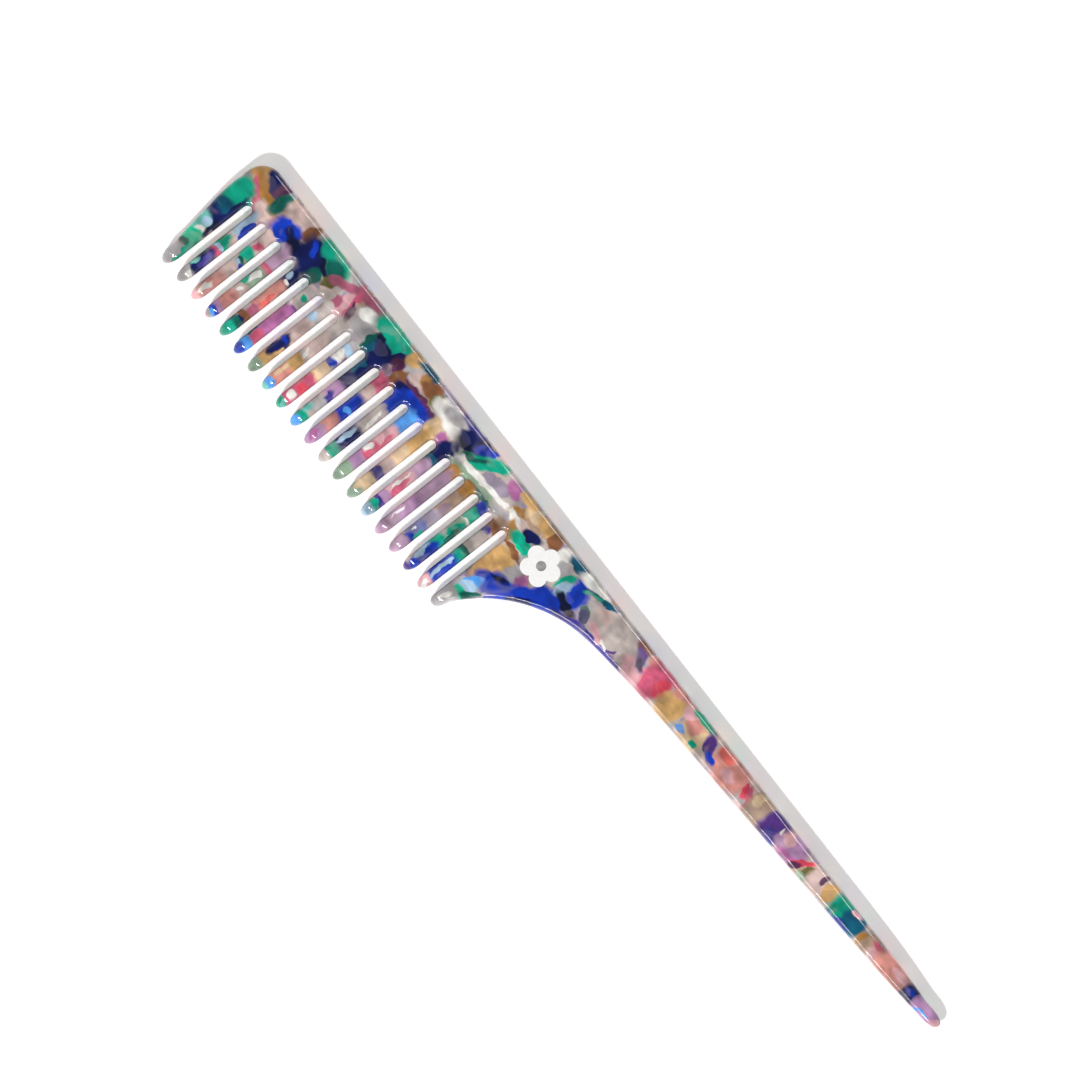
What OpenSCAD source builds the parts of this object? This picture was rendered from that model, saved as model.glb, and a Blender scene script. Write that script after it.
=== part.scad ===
// Tail comb cut from one plate of pressed multicoloured cellulose acetate.
// Length runs along X with the tail tip at +X, the straight back edge faces +Y,
// the teeth point to -Y, and the comb lies flat with its underside at Z = 0.
// The plate is split face to face into the spine, each tooth, the shoulder and the tail.

/* [Plate] */
// Length from the front end to the tip of the tail
comb_length = 195; // [170:1:240]
// Width from the straight back edge to the tooth tips
comb_width = 25.9; // [20:0.1:31]
// Thickness of the plate
thickness = 4; // [3:0.1:5]
// Radius polished onto the long edges
edge_r = 1; // [0.4:0.1:1.4]

/* [Teeth] */
// Number of like teeth between the front tooth and the shoulder
tooth_count = 18; // [8:1:20]
// Distance from the middle of one tooth to the middle of the next
tooth_pitch = 4.06; // [3.3:0.02:4.9]
// Width of the gap sawn between two teeth
gap_width = 1.62; // [1.2:0.02:2]
// Depth from the back edge to the round roots of the gaps
root_depth = 7.8; // [6:0.05:9.5]
// Length over which a tooth narrows to its tip in plan
tip_length = 3; // [2:0.1:4]
// Width left at the rounded tip of a tooth
tip_width = 1.1; // [0.8:0.05:1.4]
// Length over which a tooth is bevelled thinner towards its tip
bevel_length = 7; // [4:0.5:10]
// Thickness left at the tip of a tooth
tip_thickness = 2.2; // [1.6:0.1:3]

/* [Front tooth] */
// Width of the front tooth at its root
front_width = 4.8; // [4:0.1:6]
// Radius of the corner between the back edge and the front end
front_corner_r = 4.2; // [2:0.1:4.8]
// Distance that the front end slants in at the depth of the tooth tips
front_slant = 2.3; // [1:0.1:3]
// Share of the slant that is reached at two thirds of the comb's width
front_bulge = 0.35; // [0.2:0.05:0.5]

/* [Shoulder and tail] */
// Width of the rounded tip of the shoulder tooth
shoulder_tip_width = 1.6; // [1.2:0.1:2]
// Radius of the hollow curve that runs from the shoulder tooth into the tail
neck_r = 27.5; // [22:0.5:40]
// Slope of the tail's lower edge where the neck curve ends, in degrees
neck_end_angle = 6.5; // [4:0.5:9]
// Depth of the tail where the neck curve ends
tail_root_depth = 8; // [6:0.05:9.5]
// Length of the easy bend between the neck curve and the straight taper
tail_bend_length = 20.3; // [12:0.5:26]
// Depth of the tail where its straight taper begins
tail_depth = 6.4; // [4.5:0.05:7]
// Length of the slim point at the end of the tail
point_length = 16; // [10:1:25]
// Depth of the tail where the slim point begins
point_depth = 3.8; // [2.6:0.1:4.4]
// Radius of the rounded tail tip
tail_tip_r = 0.9; // [0.6:0.05:1.2]
// Depth from the line of the back edge to the middle of the tail tip
tail_tip_depth = 1.3; // [1.2:0.05:2]

/* [Printed flower] */
// Width across the petals of the printed flower
flower_width = 7.6; // [5:0.1:8.4]
// Distance from the shoulder to the middle of the flower
flower_from_shoulder = 7.8; // [6:0.1:12]
// Depth from the back edge to the middle of the flower
flower_depth = 6.5; // [5:0.05:8]
// Number of petals
petal_count = 5; // [4:1:8]
// Thickness of the printed ink
ink_thickness = 0.05; // [0.03:0.01:0.1]

/* [Hidden] */

// Roundings as shares of the widths that they are worked into
tooth_edge_share = 0.42;
tip_edge_share = 0.4;
tail_rim_share = 0.9;
// Petal and open eye radii as shares of the flower's width
petal_share = 0.21;
flower_eye_share = 0.12;
// Share of the comb's width at which the front end's bulge is set
bulge_place = 2 / 3;

front_x = -comb_length / 2;
back_y = comb_width / 2;
tooth_width = tooth_pitch - gap_width;
gap_r = gap_width / 2;
// The teeth begin at the middles of the half-round gap roots
tooth_depth = root_depth + gap_r;
tooth_length = comb_width - tooth_depth;
tooth_edge_r = min(edge_r, tooth_edge_share * tooth_width);
tip_edge_r = tip_edge_share * tip_width;
first_tooth_x = front_x + front_width + tooth_pitch - tooth_width / 2;
shoulder_x = front_x + front_width + (tooth_count + 1) * tooth_pitch - tooth_width;

// The neck curve touches the right side of the shoulder tooth's tip
neck_centre_depth = tail_root_depth + neck_r * cos(neck_end_angle);
neck_tip_drop = neck_centre_depth - comb_width;
neck_centre_x = shoulder_x + shoulder_tip_width + sqrt(pow(neck_r, 2) - pow(neck_tip_drop, 2));
neck_end_x = neck_centre_x - neck_r * sin(neck_end_angle);
taper_x = neck_end_x + tail_bend_length;
tail_tip_x = comb_length / 2 - tail_tip_r;
point_x = comb_length / 2 - point_length;
// The shoulder tooth is bevelled from this depth down to its tip
shoulder_bevel_depth = comb_width - bevel_length;
shoulder_bevel_x = neck_x(shoulder_bevel_depth);

flower_x = shoulder_x + flower_from_shoulder;
petal_r = petal_share * flower_width;
petal_ring_r = flower_width / 2 - petal_r;
flower_eye_r = flower_eye_share * flower_width;

facets = 24;
fine = 96;
slab = 0.1;
cut = 1;

function number_name(i) = str(i < 10 ? "0" : "", i);
function tooth_x(i) = first_tooth_x + (i - 1) * tooth_pitch;
// Place on the neck curve at a given depth
function neck_x(depth) = neck_centre_x - sqrt(pow(neck_r, 2) - pow(neck_centre_depth - depth, 2));

tooth_colours = ["royalblue", "darkseagreen", "plum", "navy", "orchid", "peru",
                 "burlywood", "indianred", "midnightblue", "palevioletred", "cornflowerblue", "hotpink",
                 "goldenrod", "mediumseagreen", "thistle", "mediumpurple", "darkturquoise", "mediumblue"];

// Rectangle with round corners, standing on the X axis and centred on the Y axis
module rounded_section(width, height, r) {
    translate([-width / 2 + r, 0]) square([width - 2 * r, height]);
    translate([-width / 2, r]) square([width, height - 2 * r]);
    for (side = [-1, 1], level = [r, height - r])
        translate([side * (width / 2 - r), level]) circle(r = r, $fn = facets);
}

// A thin slice of the comb across its length, from the back edge down to a depth
module cross_slice(x, depth) {
    translate([x, back_y - depth / 2, 0])
        rotate([90, 0, 90]) linear_extrude(slab) rounded_section(depth, thickness, edge_r);
}

// A stretch of a tooth, a thin slice unless a run is given, that starts at a depth from the back edge
module tooth_slice(x, depth, width, height, r, run = slab) {
    translate([x, back_y - depth, (thickness - height) / 2])
        rotate([90, 0, 0]) linear_extrude(run) rounded_section(width, height, r);
}

// Round disc with rounded rims
module puck(x, depth, r, height, rim_r) {
    translate([x, back_y - depth, (thickness - height) / 2])
        rotate_extrude($fn = facets) intersection() {
            rounded_section(2 * r, height, rim_r);
            square([r, height]);
        }
}

// Full-height section of the back strip: its back edge is rounded, its lower edge is left square
module back_strip(from_x, to_x, depth) {
    translate([from_x, back_y, 0]) rotate([90, 0, 90]) linear_extrude(to_x - from_x) {
        translate([-depth, 0]) square([depth - edge_r, thickness]);
        translate([-edge_r, edge_r]) square([edge_r, thickness - 2 * edge_r]);
        for (level = [edge_r, thickness - edge_r])
            translate([-edge_r, level]) circle(r = edge_r, $fn = facets);
    }
}

// Cutter for the hollow neck, which also rounds both of its long edges
module neck_cutter() {
    rim = neck_r + edge_r;
    translate([neck_centre_x, back_y - neck_centre_depth, -cut])
        cylinder(r = neck_r, h = thickness + 2 * cut, $fn = fine);
    translate([neck_centre_x, back_y - neck_centre_depth, 0]) rotate_extrude($fn = fine) difference() {
        square([rim, thickness]);
        translate([rim, edge_r]) circle(r = edge_r, $fn = facets);
        translate([rim, thickness - edge_r]) circle(r = edge_r, $fn = facets);
        translate([neck_r, edge_r]) square([2 * edge_r, thickness - 2 * edge_r]);
    }
}

// Straight back strip that carries the teeth, with the half-round roots of the gaps
module spine() {
    color("rosybrown") difference() {
        back_strip(front_x + front_width, shoulder_x, tooth_depth);
        for (i = [0:tooth_count])
            translate([front_x + front_width + gap_r + i * tooth_pitch, back_y - tooth_depth, -cut])
                cylinder(r = gap_r, h = thickness + 2 * cut, $fn = fine);
    }
}

// Front end of the comb: a rounded corner that runs down into a wide, slanting tooth
module front_tooth() {
    bulge_depth = bulge_place * comb_width;
    bulge_slant = front_slant * front_bulge;
    right_x = front_x + front_width;
    tip_r = (front_width - front_slant) / 2;
    color("seagreen") {
        intersection() {
            hull() {
                puck(front_x + front_corner_r, front_corner_r, front_corner_r, thickness, edge_r);
                puck(right_x + edge_r, edge_r + slab, edge_r + slab, thickness, edge_r);
                tooth_slice(front_x + front_width, tooth_depth - slab, 2 * front_width, thickness, edge_r);
            }
            translate([front_x, back_y - tooth_depth, 0]) cube([front_width, tooth_depth, thickness]);
        }
        hull() {
            tooth_slice(front_x + front_width / 2, tooth_depth, front_width, thickness, edge_r);
            tooth_slice((front_x + bulge_slant + right_x) / 2, bulge_depth,
                        front_width - bulge_slant, thickness, edge_r);
            puck(right_x - tip_r, comb_width - tip_r, tip_r, tip_thickness, tip_edge_r);
        }
    }
}

// One of the like teeth: parallel sides, then a slim rounded tip that is also bevelled thinner
module tooth(i) {
    color(tooth_colours[(i - 1) % len(tooth_colours)]) translate([tooth_x(i), 0, 0]) hull() {
        tooth_slice(0, tooth_depth, tooth_width, thickness, tooth_edge_r, tooth_length - bevel_length);
        tooth_slice(0, comb_width - tip_length, tooth_width,
                    tip_thickness + (thickness - tip_thickness) * tip_length / bevel_length, tooth_edge_r);
        puck(0, comb_width - tip_width / 2, tip_width / 2, tip_thickness, tip_edge_r);
    }
}

// The last tooth and the hollow neck behind it
module shoulder() {
    color("royalblue") {
        difference() {
            back_strip(shoulder_x, neck_end_x, shoulder_bevel_depth);
            neck_cutter();
        }
        hull() {
            tooth_slice((shoulder_x + shoulder_bevel_x) / 2, shoulder_bevel_depth,
                        shoulder_bevel_x - shoulder_x, thickness, edge_r);
            puck(shoulder_x + shoulder_tip_width / 2, comb_width - shoulder_tip_width / 2,
                 shoulder_tip_width / 2, tip_thickness, tip_edge_r);
        }
    }
}

// Slender handle that tapers to a fine rounded tip
module tail() {
    color("palevioletred") {
        hull() {
            cross_slice(neck_end_x, tail_root_depth);
            cross_slice(taper_x - slab, tail_depth);
        }
        hull() {
            cross_slice(taper_x - slab, tail_depth);
            cross_slice(point_x, point_depth);
            puck(tail_tip_x, tail_tip_depth, tail_tip_r, 2 * tail_tip_r, tail_rim_share * tail_tip_r);
        }
    }
}

// Flower of round petals with an open eye, printed on the face of the shoulder
module printed_flower() {
    color("whitesmoke") translate([flower_x, back_y - flower_depth, thickness])
        linear_extrude(ink_thickness) difference() {
            union() {
                for (petal = [0:petal_count - 1])
                    rotate(90 + petal * 360 / petal_count)
                        translate([petal_ring_r, 0]) circle(r = petal_r, $fn = fine);
                circle(r = petal_ring_r, $fn = fine);
            }
            circle(r = flower_eye_r, $fn = fine);
        }
}

spine();
front_tooth();
for (i = [1:tooth_count])
    tooth(i);
shoulder();
tail();
printed_flower();
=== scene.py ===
import math

import bmesh
import bpy
from mathutils import Matrix, Vector


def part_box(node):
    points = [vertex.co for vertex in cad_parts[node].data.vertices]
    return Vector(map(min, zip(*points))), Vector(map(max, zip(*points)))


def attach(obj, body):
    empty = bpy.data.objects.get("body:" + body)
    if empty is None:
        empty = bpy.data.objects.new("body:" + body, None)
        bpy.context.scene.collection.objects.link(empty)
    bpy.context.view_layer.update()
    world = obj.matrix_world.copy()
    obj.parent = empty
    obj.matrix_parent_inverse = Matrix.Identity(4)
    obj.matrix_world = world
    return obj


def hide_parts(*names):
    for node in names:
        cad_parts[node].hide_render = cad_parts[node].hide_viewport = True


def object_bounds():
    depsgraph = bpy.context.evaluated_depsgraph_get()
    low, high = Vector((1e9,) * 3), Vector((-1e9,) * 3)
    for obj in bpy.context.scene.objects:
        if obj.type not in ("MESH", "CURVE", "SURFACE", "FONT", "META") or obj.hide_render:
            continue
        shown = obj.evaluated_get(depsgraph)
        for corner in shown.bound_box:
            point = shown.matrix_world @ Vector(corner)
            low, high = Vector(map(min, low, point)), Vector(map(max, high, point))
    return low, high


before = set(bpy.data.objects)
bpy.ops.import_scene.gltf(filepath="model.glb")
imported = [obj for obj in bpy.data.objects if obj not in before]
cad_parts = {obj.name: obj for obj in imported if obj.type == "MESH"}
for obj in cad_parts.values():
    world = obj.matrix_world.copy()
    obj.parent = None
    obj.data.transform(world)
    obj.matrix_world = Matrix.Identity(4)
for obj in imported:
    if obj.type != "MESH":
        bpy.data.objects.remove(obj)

# The CAD box, from which the comb's front, back, tips and tail end are read.
cad_low, cad_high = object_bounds()

# ---- Pressed sheet ----------------------------------------------------------------
# Offcuts of dyed cellulose acetate are laid in a milky pearl base and pressed hot into
# one sheet, so every chip is a soft flake of plain colour that leans through the sheet.
front_x = cad_low.x
back_y = cad_high.y
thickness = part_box("spine")[1].z
mm = 1000  # Millimetres in a metre: the sheet is laid out in millimetres.


def dye(red, green, blue):
    """A dye's screen values, 0 to 255, as the linear colour that shaders take."""
    return tuple(((value / 255 + 0.055) / 1.055) ** 2.4 for value in (red, green, blue)) + (1.0,)


dyes = {
    "pearl": dye(186, 174, 169),
    "white": dye(232, 229, 224),
    "grey": dye(172, 168, 170),
    "blush": dye(205, 180, 174),
    "cream": dye(214, 186, 150),
    "emerald": dye(0, 164, 134),
    "bright_green": dye(20, 192, 148),
    "bottle": dye(6, 92, 82),
    "petrol": dye(8, 84, 112),
    "aqua": dye(110, 190, 178),
    "sage": dye(140, 164, 142),
    "navy": dye(10, 24, 86),
    "ink": dye(8, 20, 56),
    "cobalt": dye(14, 56, 178),
    "sky": dye(84, 154, 228),
    "ice": dye(164, 192, 214),
    "indigo": dye(66, 58, 142),
    "violet": dye(86, 52, 132),
    "plum": dye(88, 42, 78),
    "lilac": dye(182, 140, 182),
    "orchid": dye(180, 108, 160),
    "old_rose": dye(166, 92, 116),
    "rose": dye(202, 92, 122),
    "crimson": dye(214, 72, 92),
    "coral": dye(212, 104, 96),
    "salmon": dye(208, 142, 132),
    "pink": dye(216, 166, 172),
    "gold": dye(206, 164, 106),
    "ochre": dye(176, 126, 62),
    "brown": dye(132, 86, 56),
    "olive": dye(104, 98, 56),
    "mauve": dye(150, 122, 138),
    "tan": dye(176, 148, 128),
    "slate": dye(112, 118, 168),
    "orchid_grey": dye(184, 150, 178),
    "lilac_grey": dye(158, 146, 164),
}

# Each chip: dye, place along the comb and down from its back, reach each way, and turn,
# in millimetres and degrees. A later chip lies over the ones before it. A few small pale
# chips are painted glints: bright flecks laid where the polish caught the light. Each is named where it
# stands.
spine_chips = [
    ("gold", 2.4, 2.6, 3.4, 1.8, 28), ("ochre", 5.2, 4.2, 3.8, 1.3, 26),
    ("navy", 5.2, 1.4, 2.5, 1.1, 30), ("plum", 7.1, 1.6, 0.9, 1.4, 0),
    ("rose", 4.2, 5.4, 2.9, 0.6, 38), ("blush", 7.4, 6.4, 1.8, 1.2, 30),
    ("bottle", 8.7, 3.2, 1.2, 2.0, 8), ("blush", 12.4, 1.9, 2.6, 1.9, 0),
    ("brown", 16.0, 2.6, 1.0, 2.4, 8), ("cobalt", 12.8, 5.4, 2.5, 1.9, -18),
    ("navy", 13.4, 5.0, 1.0, 0.8, 20), ("ink", 15.9, 6.2, 1.6, 1.3, 20),
    # The small blush chip at 17.2 is a painted glint.
    ("blush", 17.2, 4.7, 1.4, 0.5, 25), ("navy", 19.4, 4.8, 2.6, 3.2, -35),
    ("cobalt", 18.6, 3.6, 1.4, 0.5, 40), ("emerald", 22.2, 1.6, 3.7, 1.5, 14),
    ("bottle", 24.0, 3.0, 2.0, 1.5, 20), ("ink", 22.6, 4.4, 1.8, 0.5, 35),
    ("olive", 24.6, 5.0, 1.7, 0.8, -52), ("bottle", 21.9, 6.5, 1.0, 1.6, 12),
    ("old_rose", 27.6, 2.8, 3.2, 0.9, -22), ("old_rose", 32.4, 1.5, 3.2, 0.8, 10),
    ("pink", 29.6, 5.4, 1.3, 2.4, 10), ("old_rose", 27.9, 6.2, 0.9, 1.3, 10),
    ("rose", 30.6, 4.2, 0.5, 2.4, -8), ("plum", 31.4, 5.6, 0.4, 2.0, -20),
    # The white chip at 33.5 is a painted highlight on the grey chip beside it.
    ("grey", 34.2, 4.7, 2.0, 2.7, -30), ("white", 33.5, 3.1, 1.3, 0.9, -20),
    ("emerald", 39.6, 1.8, 4.0, 1.9, 4), ("emerald", 41.2, 3.8, 1.8, 1.4, 40),
    ("bottle", 37.2, 5.4, 0.7, 2.2, 4), ("ink", 38.3, 3.9, 1.5, 0.7, 22),
    ("navy", 40.1, 6.4, 2.2, 1.7, 25), ("petrol", 38.2, 6.6, 0.6, 1.6, 0),
    ("navy", 40.2, 4.8, 1.7, 1.0, 10), ("navy", 43.2, 3.4, 0.7, 3.0, 24),
    ("plum", 43.8, 4.6, 0.9, 1.5, 0), ("gold", 45.0, 1.4, 1.3, 1.4, 0),
    ("petrol", 48.2, 0.9, 2.0, 0.8, 0), ("blush", 48.6, 3.8, 1.7, 1.2, 20),
    ("ochre", 49.4, 2.2, 1.2, 0.9, 0), ("brown", 51.2, 2.6, 1.7, 1.4, 0),
    ("olive", 52.9, 3.0, 0.9, 1.5, 20), ("olive", 55.0, 4.3, 2.4, 0.5, 10),
    ("plum", 50.4, 5.3, 4.2, 0.8, 4), ("brown", 45.6, 6.0, 1.3, 1.6, 0),
    ("navy", 47.6, 6.7, 1.6, 1.1, 0), ("cobalt", 51.6, 6.6, 3.2, 1.2, 0),
    ("white", 57.0, 3.1, 3.5, 1.8, 5), ("grey", 57.4, 2.3, 2.2, 1.0, 0),
    ("cream", 56.3, 6.4, 1.3, 1.9, 0), ("orchid", 58.7, 6.5, 1.0, 1.1, -30),
    ("navy", 60.8, 6.6, 1.2, 1.6, 0), ("indigo", 62.2, 0.7, 4.0, 0.6, 0),
    ("ink", 63.2, 2.7, 2.9, 1.8, -24), ("navy", 62.0, 2.0, 1.9, 1.2, -20),
    ("cobalt", 65.8, 1.5, 1.8, 0.7, -38), ("emerald", 67.0, 3.0, 3.8, 1.1, -34),
    ("bottle", 64.9, 4.2, 2.8, 0.5, -34), ("white", 68.4, 5.6, 5.0, 0.7, -3),
    ("white", 73.0, 5.0, 2.8, 0.5, -10), ("sage", 68.6, 7.0, 5.6, 0.7, -3),
    ("bottle", 70.0, 7.4, 4.0, 0.35, -4), ("orchid", 74.0, 1.9, 1.7, 1.0, 20),
    ("ochre", 78.2, 3.2, 2.4, 0.9, -30), ("gold", 82.2, 1.6, 2.8, 1.0, -4),
    ("grey", 75.6, 6.1, 2.0, 0.6, -15), ("white", 77.6, 4.9, 1.6, 0.7, 20),
    ("ochre", 79.0, 6.8, 0.8, 1.6, -30), ("cream", 79.5, 2.2, 1.6, 1.0, 0),
    ("gold", 77.2, 1.0, 1.8, 0.7, 0), ("tan", 80.9, 3.4, 1.8, 0.7, 10),
]
shoulder_chips = [
    ("pearl", 104.4, 3.4, 4.8, 2.8, 0), ("blush", 101.5, 3.0, 1.5, 1.0, 20),
    ("navy", 82.4, 4.7, 2.0, 0.8, -12), ("emerald", 82.4, 6.8, 2.6, 1.1, 4),
    ("bright_green", 82.4, 7.6, 1.3, 0.4, 6), ("brown", 82.4, 8.8, 2.5, 0.4, 8),
    ("gold", 81.8, 11.2, 2.4, 1.9, 0), ("gold", 80.9, 14.2, 1.3, 2.6, 8),
    ("grey", 85.5, 11.8, 1.4, 1.9, 12), ("orchid", 87.4, 11.3, 0.9, 1.3, 0),
    ("cobalt", 84.4, 15.2, 2.9, 1.8, -28), ("ink", 85.2, 13.5, 2.3, 0.4, -18),
    ("cobalt", 88.6, 12.5, 3.6, 1.3, -38), ("cobalt", 92.6, 9.5, 3.4, 1.8, -30),
    ("sky", 81.9, 17.6, 1.6, 0.9, -46), ("ice", 81.8, 19.2, 1.7, 0.9, -46),
    ("bright_green", 82.0, 20.6, 1.1, 0.9, 0), ("bottle", 83.4, 19.5, 1.7, 0.4, -52),
    ("grey", 80.9, 23.5, 1.7, 2.2, 0), ("white", 80.8, 22.9, 0.5, 1.0, 30),
    ("brown", 85.6, 2.0, 1.2, 1.2, 40), ("white", 88.4, 2.2, 1.1, 1.3, 30),
    ("petrol", 91.6, 1.2, 1.8, 0.8, 0), ("grey", 90.4, 3.6, 1.3, 0.8, 20),
    ("emerald", 92.0, 4.8, 0.8, 2.0, 20), ("ice", 93.2, 6.0, 1.0, 1.5, 20),
    ("cobalt", 95.4, 4.4, 1.6, 2.8, -15), ("white", 96.3, 1.2, 3.0, 0.9, -5),
    ("petrol", 98.8, 1.8, 3.0, 0.5, -16), ("emerald", 97.4, 2.6, 1.6, 0.4, -24),
    ("ink", 95.4, 7.3, 2.3, 0.7, 8), ("bottle", 98.6, 5.4, 1.1, 0.7, 20),
    ("navy", 99.2, 6.4, 0.9, 1.1, -20), ("indigo", 101.0, 7.7, 3.4, 0.5, -11),
    # The small pink, white and violet chips at 102.6, 105.2 and 107.0 are painted glints.
    ("pink", 102.6, 6.1, 2.0, 0.5, 24), ("white", 105.2, 6.4, 1.3, 0.3, 8),
    ("violet", 107.0, 5.9, 0.8, 0.4, -38), ("navy", 84.6, 19.8, 2.4, 0.5, -60),
    ("cobalt", 86.9, 16.6, 2.6, 0.8, -53), ("navy", 90.2, 13.2, 2.8, 0.7, -42),
    ("cobalt", 94.2, 10.3, 2.8, 0.8, -31), ("indigo", 98.6, 8.5, 3.0, 0.7, -20),
    ("indigo", 104.0, 7.7, 3.6, 0.6, -8), ("indigo", 109.6, 7.2, 2.8, 0.4, -6),
]
tail_chips = [
    ("brown", 110.2, 0.9, 1.2, 0.9, 0), ("pink", 112.6, 5.0, 3.0, 1.6, 0),
    ("violet", 111.3, 2.8, 1.9, 0.9, 40), ("ink", 111.9, 3.3, 1.0, 0.5, 30),
    ("salmon", 113.6, 1.2, 1.3, 0.9, 0), ("rose", 116.0, 3.2, 2.4, 3.0, 0),
    ("crimson", 117.6, 3.0, 1.1, 1.7, 0), ("rose", 118.4, 0.5, 4.2, 0.5, 0),
    ("gold", 121.0, 3.8, 2.1, 2.9, 0), ("salmon", 120.8, 1.2, 1.6, 0.6, 0),
    ("cream", 127.2, 3.4, 2.4, 2.9, 0), ("salmon", 126.6, 2.6, 1.4, 1.2, 0),
    ("pink", 124.2, 1.7, 1.1, 1.1, 20), ("emerald", 126.8, 0.6, 2.3, 0.5, 0),
    ("sky", 125.2, 4.9, 0.9, 0.6, 0), ("emerald", 128.7, 4.9, 0.6, 0.4, 0),
    ("salmon", 136.4, 2.4, 3.6, 3.2, 0), ("coral", 134.4, 1.4, 1.6, 0.9, 0),
    ("pink", 137.0, 3.4, 1.3, 0.8, 0), ("violet", 131.0, 2.8, 2.4, 0.9, 50),
    ("cobalt", 132.6, 4.0, 1.1, 0.6, 20), ("crimson", 141.0, 2.8, 0.6, 1.4, -16),
    ("rose", 142.2, 3.2, 0.4, 1.9, -20), ("tan", 144.9, 2.6, 2.2, 3.2, 0),
    ("cream", 144.0, 1.6, 0.8, 1.2, 0), ("violet", 149.0, 2.4, 2.0, 3.0, 10),
    ("indigo", 150.0, 3.9, 1.4, 0.9, 20), ("lilac", 154.0, 2.1, 2.8, 2.6, 0),
    ("pink", 152.6, 1.4, 1.3, 0.8, 40), ("white", 151.0, 1.7, 0.8, 0.3, 44),
    ("orchid", 154.4, 3.9, 2.1, 0.6, -8), ("crimson", 157.5, 2.4, 1.9, 0.5, -48),
    ("plum", 156.7, 3.7, 0.9, 0.5, -40), ("olive", 158.9, 2.9, 0.6, 1.4, 18),
    ("sage", 158.9, 4.1, 1.0, 0.6, 0), ("blush", 161.8, 2.6, 1.9, 2.4, 0),
    ("plum", 162.2, 1.1, 0.4, 0.8, 0), ("gold", 164.4, 1.8, 1.1, 1.8, 0),
    ("emerald", 168.4, 2.2, 2.4, 2.4, 0), ("petrol", 171.0, 2.0, 2.1, 2.4, 0),
    ("pink", 170.6, 0.4, 0.9, 0.4, 0), ("cobalt", 168.7, 3.6, 2.2, 0.35, -3),
    ("ochre", 174.2, 2.6, 0.9, 1.5, 0), ("tan", 175.6, 2.0, 1.1, 2.2, 0),
    ("rose", 177.6, 0.9, 1.3, 0.6, 0), ("pink", 177.4, 2.2, 0.6, 1.2, 45),
    ("salmon", 181.8, 1.8, 3.6, 2.4, 0), ("pink", 183.6, 1.2, 1.6, 0.6, 0),
    ("navy", 187.1, 2.0, 1.5, 2.4, 0), ("cobalt", 186.8, 1.2, 0.7, 0.6, 0),
    # The thin sky chip at 190.8 is a painted glint.
    ("lilac", 191.4, 1.8, 2.7, 2.0, 0), ("sky", 190.8, 2.1, 1.5, 0.25, -6),
    ("pink", 194.4, 1.5, 1.2, 1.2, 0),
]
front_chips = [
    ("emerald", 2.2, 7.9, 2.5, 2.9, 0), ("petrol", 2.6, 11.7, 2.6, 1.8, 0),
    ("navy", 2.9, 13.4, 2.2, 1.1, 10), ("navy", 4.3, 11.5, 0.5, 4.0, 0),
    ("aqua", 1.8, 16.2, 1.3, 2.3, 0), ("ink", 3.9, 15.8, 0.5, 2.0, 0),
    ("ice", 2.8, 15.2, 0.7, 0.8, 0), ("white", 2.9, 17.2, 0.9, 0.6, -40),
    ("bright_green", 2.8, 19.0, 1.6, 1.6, 0), ("bottle", 3.0, 20.6, 0.9, 0.5, 0),
    ("grey", 3.3, 23.4, 1.3, 2.2, 0), ("emerald", 4.4, 22.0, 0.4, 2.8, 0),
]
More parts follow.
